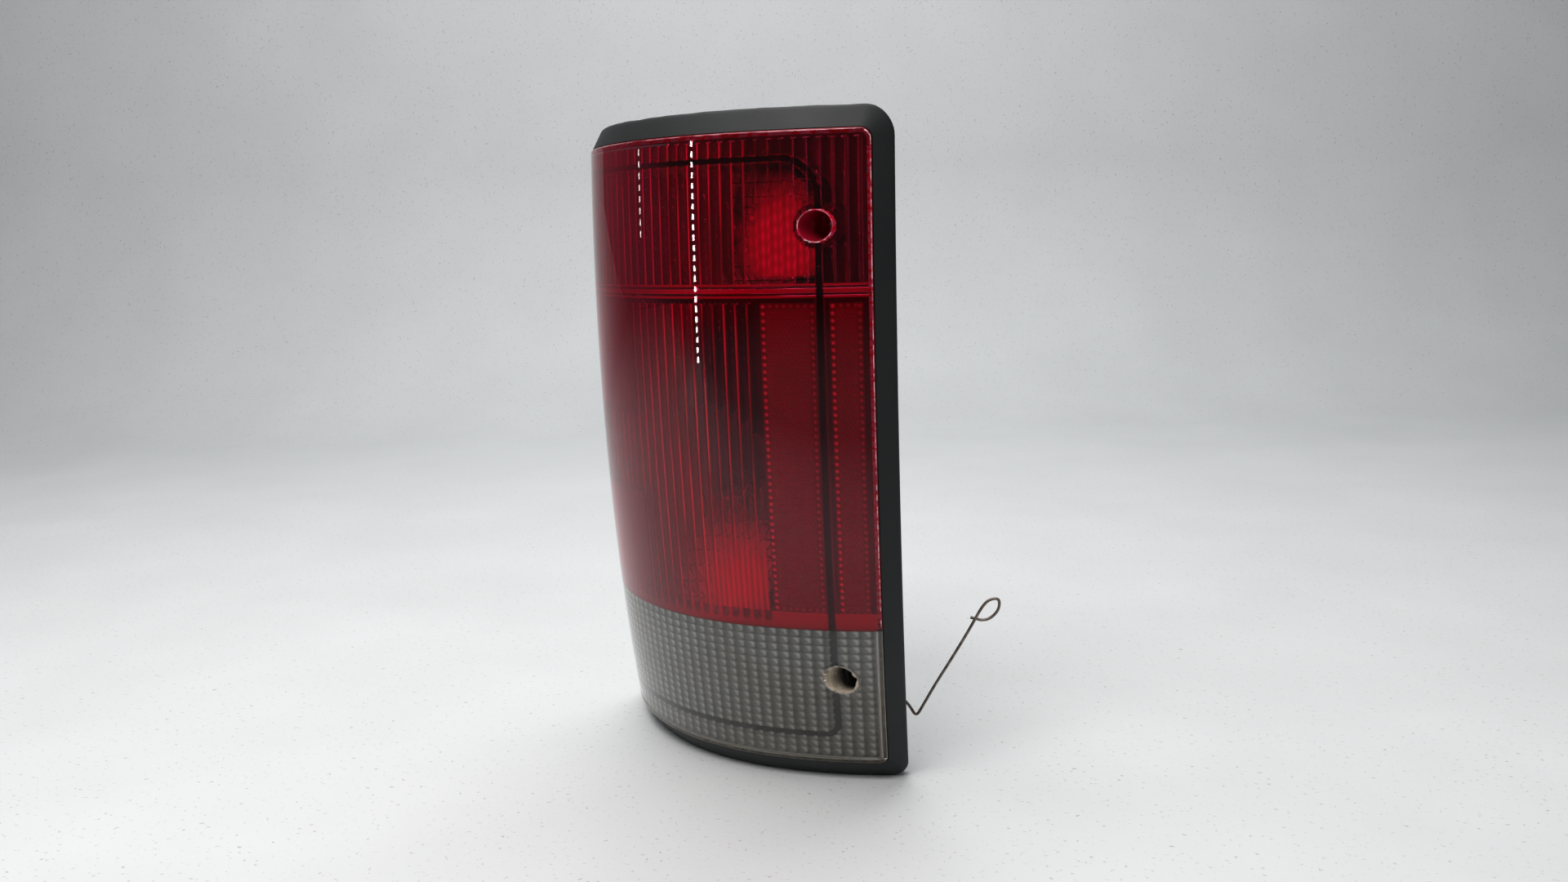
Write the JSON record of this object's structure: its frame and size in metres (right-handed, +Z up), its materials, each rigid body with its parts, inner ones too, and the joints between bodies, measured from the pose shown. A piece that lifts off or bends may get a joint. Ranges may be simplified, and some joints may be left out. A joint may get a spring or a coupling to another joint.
{
  "type": "vehicle tail light",
  "caption": "Wrap-around rear corner lamp: red lens over a clear reversing lens on a black tub, with turn-lock bulb sockets, a rubber surround and a bent steel wire.",
  "frame": {"origin": "middle of the object's box at its lowest edge, the bottom of the rubber surround", "axes": "+Z up, +Y the way the mounting screws are driven and the way the lamp goes into the body, +X towards the middle of the vehicle"},
  "size_m": [0.3029, 0.164, 0.422],
  "materials": {
    "red_lens": "clear red acrylic, polished",
    "clear_lens": "clear acrylic, moulded pillows, dusty",
    "red_reflex": "red prism pattern",
    "black_plastic": "moulded, fine grain",
    "sealant": "satin",
    "bright_metal": "vacuum metallised",
    "black_rubber": "matte, scuffed",
    "plated_steel": "zinc plated",
    "rusty_wire": "tarnished",
    "grey_plastic": "moulded",
    "seal_rubber": "matte",
    "contact_brass": "bright",
    "bulb_glass": "clear",
    "bulb_base": "satin",
    "lamp_wire": "plain"
  },
  "bodies": {
    "lamp": {"lens_red": "red_lens", "lens_clear": "clear_lens", "reflex_rear_wide": "red_reflex", "reflex_rear_narrow": "red_reflex", "reflex_side_upper": "red_reflex", "reflex_side_lower": "red_reflex", "housing": "black_plastic", "lens_bond": "sealant", "stop_reflector": "bright_metal", "tail_reflector": "bright_metal", "reverse_reflector": "bright_metal", "surround": "black_rubber", "breather_cap": "black_rubber", "guide_pins": "plated_steel"},
    "wire": {"wire_hook": "rusty_wire"},
    "stop_holder": {"stop_socket": "grey_plastic", "stop_socket_seal": "seal_rubber", "stop_contacts": "contact_brass"},
    "stop_bulb": {"stop_bulb_glass": "bulb_glass", "stop_bulb_base": "bulb_base", "stop_filament": "lamp_wire"},
    "tail_holder": {"tail_socket": "grey_plastic", "tail_socket_seal": "seal_rubber", "tail_contacts": "contact_brass"},
    "tail_bulb": {"tail_bulb_glass": "bulb_glass", "tail_bulb_base": "bulb_base", "tail_filament": "lamp_wire"},
    "reverse_holder": {"reverse_socket": "grey_plastic", "reverse_socket_seal": "seal_rubber", "reverse_contacts": "contact_brass"},
    "reverse_bulb": {"reverse_bulb_glass": "bulb_glass", "reverse_bulb_base": "bulb_base", "reverse_filament": "lamp_wire"}
  },
  "joints": [
    {"name": "stop_socket_turn", "type": "hinge", "parent": "lamp", "child": "stop_holder", "pos_m": [0.0518, -0.00058, 0.3555], "axis": [0, 1, 0], "range_deg": [0, 45]},
    {"name": "stop_bulb_pull", "type": "slide", "parent": "stop_holder", "child": "stop_bulb", "axis": [0, -1, 0], "range_m": [0, 0.012]},
    {"name": "tail_socket_turn", "type": "hinge", "parent": "lamp", "child": "tail_holder", "pos_m": [0.0118, 0.01742, 0.1795], "axis": [0, 1, 0], "range_deg": [0, 45]},
    {"name": "tail_bulb_pull", "type": "slide", "parent": "tail_holder", "child": "tail_bulb", "axis": [0, -1, 0], "range_m": [0, 0.012]},
    {"name": "reverse_socket_turn", "type": "hinge", "parent": "lamp", "child": "reverse_holder", "pos_m": [0.0118, 0.04742, 0.0715], "axis": [0, 1, 0], "range_deg": [0, 45]},
    {"name": "reverse_bulb_pull", "type": "slide", "parent": "reverse_holder", "child": "reverse_bulb", "axis": [0, -1, 0], "range_m": [0, 0.012]},
    {"name": "wire_swivel", "type": "hinge", "parent": "lamp", "child": "wire", "pos_m": [0.09041, 0.04437, 0.0528], "axis": [0.5674, 0.3276, -0.7554], "range_deg": [-60, 60]}
  ]
}
